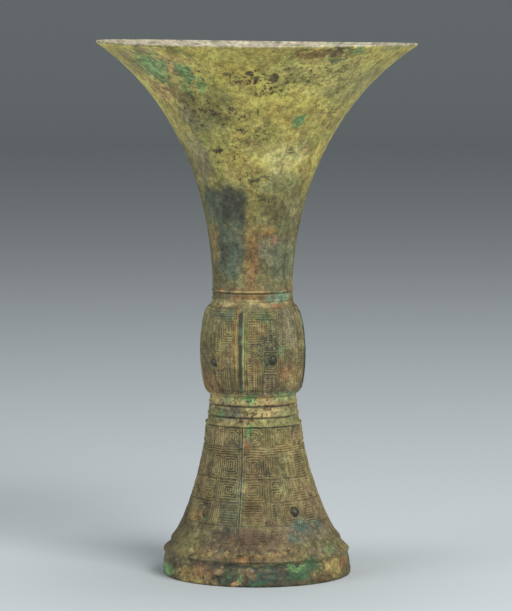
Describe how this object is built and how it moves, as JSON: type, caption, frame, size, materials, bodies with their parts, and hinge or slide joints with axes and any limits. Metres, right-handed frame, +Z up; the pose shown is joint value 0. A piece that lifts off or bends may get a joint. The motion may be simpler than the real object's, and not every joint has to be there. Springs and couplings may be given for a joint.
{
  "type": "bronze gu vase",
  "caption": "Tall hollow cast beaker with a trumpet mouth, narrow neck, swelling bulb with low flanges and nipple eyes, raised strings, and a splayed relief foot on a base ring.",
  "frame": {"origin": "centre of the base ring's underside, on the surface that the vase stands on", "axes": "+Z up the vase, from the base ring to the mouth; -Y the side that one mask's nose flange faces"},
  "size_m": [0.1598, 0.1598, 0.2667],
  "materials": {
    "bronze": "old matte patina, olive and ochre with green corrosion"
  },
  "bodies": {
    "root": {"gu_vessel": "bronze"}
  },
  "joints": []
}
